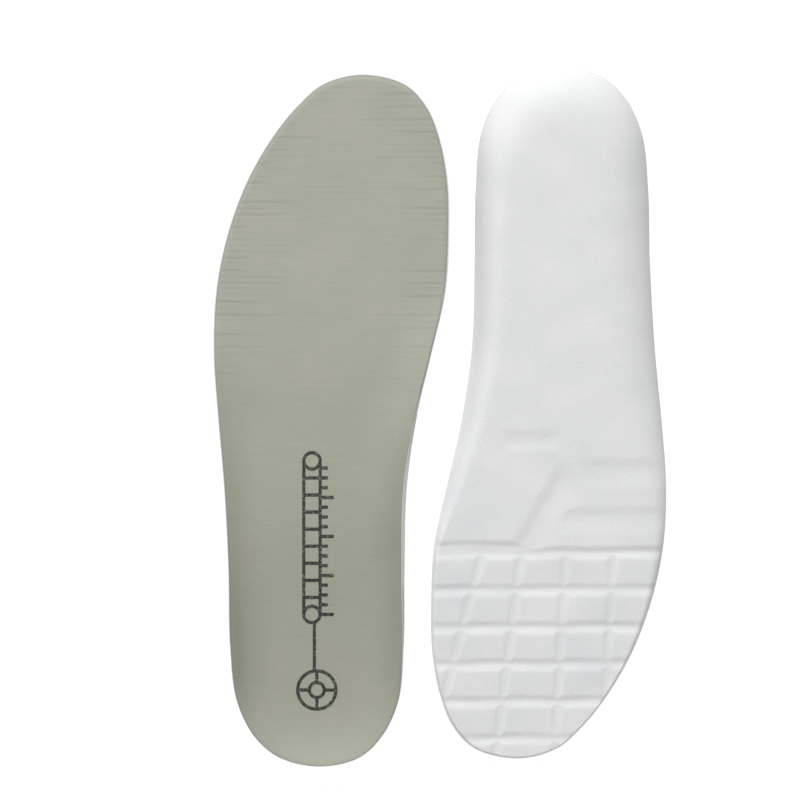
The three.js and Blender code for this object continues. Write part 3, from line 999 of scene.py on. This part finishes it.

# %% [markdown]
# ### Cloth
# The cover is a sage grey woven synthetic. From a distance its fine weave is lost, and only
# the ribs, some streaks of yarn and soft warm and cool patches show. Painted shade darkens the
# valleys between the ribs and the narrow cut edge, the seat of the heel cup and the walls beside
# it. Near the back of the heel the cloth is lighter again, a painted highlight.


# %% Cloth material
def cloth_material():
    material, nodes, links, shader = new_material(
        "ribbed_cloth", 0.85, specular=0.25, sheen=0.12, sheen_roughness=0.45
    )
    place = place_on_pattern(nodes)
    patches = noise_at(nodes, links, place, 0.03, detail=3)
    cloth = ramp(nodes, links, patches, (0.3, (0.351, 0.366, 0.3)), (0.7, (0.381, 0.381, 0.325)))
    yarns = noise_at(nodes, links, stretched(nodes, links, place, (0.06, 0.9, 1)), 1.0, detail=4)
    streaks = ramp(nodes, links, yarns, (0.3, (0.98, 0.975, 0.98)), (0.7, (1.02, 1.02, 1.01)))
    cloth = mixed(nodes, links, 1.0, cloth, streaks, "MULTIPLY")
    # painted shade darkens the heel cup's seat; near the back wall it is lighter, a painted
    # highlight
    longways = nodes.new("ShaderNodeSeparateXYZ")
    links.new(place, longways.inputs["Vector"])
    share = sums(nodes, links, "DIVIDE", longways.outputs["Y"], LENGTH)
    seat = ramp(
        nodes, links, share,
        (0.02, (0.97, 0.97, 0.96)), (0.1, (0.88, 0.88, 0.86)), (0.3, (0.87, 0.875, 0.85)),
        (0.5, (0.94, 0.945, 0.93)), (0.62, (1, 1, 1)),
    )
    cloth = mixed(nodes, links, 1.0, cloth, seat, "MULTIPLY")
    # painted shade on the walls beside the heel cup
    walls = nodes.new("ShaderNodeAttribute")
    walls.attribute_name = "edge_press_and_wall_shade"
    wall_shade_tint = ramp(nodes, links, walls.outputs["Fac"], (0, (1, 1, 1)), (1, (0.95, 0.96, 0.935)))
    cloth = mixed(nodes, links, 1.0, cloth, wall_shade_tint, "MULTIPLY")
    # painted shade in the rib valleys and along the narrow cut edge
    valley_and_shade = nodes.new("ShaderNodeAttribute")
    valley_and_shade.attribute_name = "valley_and_shade"
    shade = sums(nodes, links, "MULTIPLY", valley_and_shade.outputs["Fac"], 0.55)
    cloth = mixed(nodes, links, shade, cloth, (0.25, 0.25, 0.235))
    links.new(cloth, shader.inputs["Base Color"])
    across = weave_wave(nodes, links, place, "X")
    along = weave_wave(nodes, links, place, "Y")
    weave = sums(nodes, links, "MULTIPLY", across, along)
    height = sums(nodes, links, "ADD", weave, yarns)
    bumped(nodes, links, shader, height, 0.35, 0.00012)
    return material


def weave_wave(nodes, links, place, direction):
    """One set of yarns, about half a millimetre apart."""
    wave = nodes.new("ShaderNodeTexWave")
    wave.bands_direction = direction
    wave.inputs["Scale"].default_value = 0.62
    wave.inputs["Distortion"].default_value = 0.6
    wave.inputs["Detail"].default_value = 1
    links.new(place, wave.inputs["Vector"])
    return wave.outputs["Fac"]


cloth_skin = cloth_material()
for cover in covers.values():
    cover.data.materials.append(cloth_skin)
print("cloth material on", len(covers), "pieces")

# %% [markdown]
# ### Ink
# Screen print ink sits on the tops of the yarns. It is nearly black and matt, and it misses
# the weave here and there, so the cloth's colour comes through in small specks.


# %% Ink material
def ink_material():
    material, nodes, links, shader = new_material("screen_ink", 0.6, specular=0.3)
    place = place_on_pattern(nodes)
    gaps = noise_at(nodes, links, place, 1.3, detail=4, roughness=0.7)
    ink = ramp(nodes, links, gaps, (0.36, (0.2, 0.205, 0.175)), (0.47, (0.03, 0.031, 0.026)))
    links.new(ink, shader.inputs["Base Color"])
    bumped(nodes, links, shader, gaps, 0.3, 0.0001)
    return material


ink_skin = ink_material()
for mark in prints.values():
    mark.data.materials.append(ink_skin)
print("ink material on", len(prints), "pieces")

# %% [markdown]
# ## Floor, light and camera
# The pair lies on a plain white table that glows like a light table, so hardly a shadow
# shows. A large soft lamp stands beyond the left insole's toe, a little to the left, and a
# weaker one at the other end. The sky is a dim even white. The camera looks straight down
# from far away through a long lens.

# %% Floor
TABLE_HALF = 3.0
TABLE_TOP = -0.0004  # just under the insoles
table_mesh = bpy.data.meshes.new("table_top")
table_corners = [
    (x * TABLE_HALF, y * TABLE_HALF, TABLE_TOP) for x, y in ((-1, -1), (1, -1), (1, 1), (-1, 1))
]
table_mesh.from_pydata(table_corners, [], [(0, 1, 2, 3)])
table_top = bpy.data.objects.new("table_top", table_mesh)
bpy.context.scene.collection.objects.link(table_top)
table_skin, *_ = new_material(
    "white_table", 0.9, specular=0.0, base_color=(0.12, 0.12, 0.12, 1),
    glow_color=(1, 1, 1, 1), glow=0.95,
)
table_mesh.materials.append(table_skin)
print("table", 2 * TABLE_HALF, "m wide")

# %% [markdown]
# The main lamp is low enough to shade the pads and to brighten the end walls that face it.
# The other lamp fills the walls that face away.

# %% Light and camera
def soft_lamp(name, position, size, power):
    """A round area light aimed at the middle of the pair."""
    light = bpy.data.lights.new(name, "AREA")
    light.shape = "DISK"
    light.size = size
    light.energy = power
    lamp = bpy.data.objects.new(name, light)
    lamp.location = position
    lamp.rotation_euler = (-Vector(position)).to_track_quat("-Z", "Y").to_euler()
    bpy.context.scene.collection.objects.link(lamp)


soft_lamp("toe_side_lamp", (-0.68, 2.95, 2.65), 1.4, 182)
soft_lamp("heel_side_lamp", (0.2, -2.6, 2.2), 1.8, 30)

world = bpy.data.worlds.new("dim_white_sky")
world.use_nodes = True
sky = world.node_tree.nodes["Background"].inputs
sky["Color"].default_value = (1, 1, 1, 1)
sky["Strength"].default_value = 0.16
bpy.context.scene.world = world

VIEW_WIDTH = 0.33
CAMERA_HEIGHT = 1.5
lens = bpy.data.cameras.new("overhead")
lens.sensor_width = 36
lens.lens = lens.sensor_width * CAMERA_HEIGHT / VIEW_WIDTH
lens.clip_end = 20
camera = bpy.data.objects.new("overhead", lens)
camera.location = (-0.0164, 0.0067, CAMERA_HEIGHT)
bpy.context.scene.collection.objects.link(camera)
bpy.context.scene.camera = camera
bpy.context.scene.view_settings.view_transform = "Standard"
print("lens", round(lens.lens, 1), "mm")
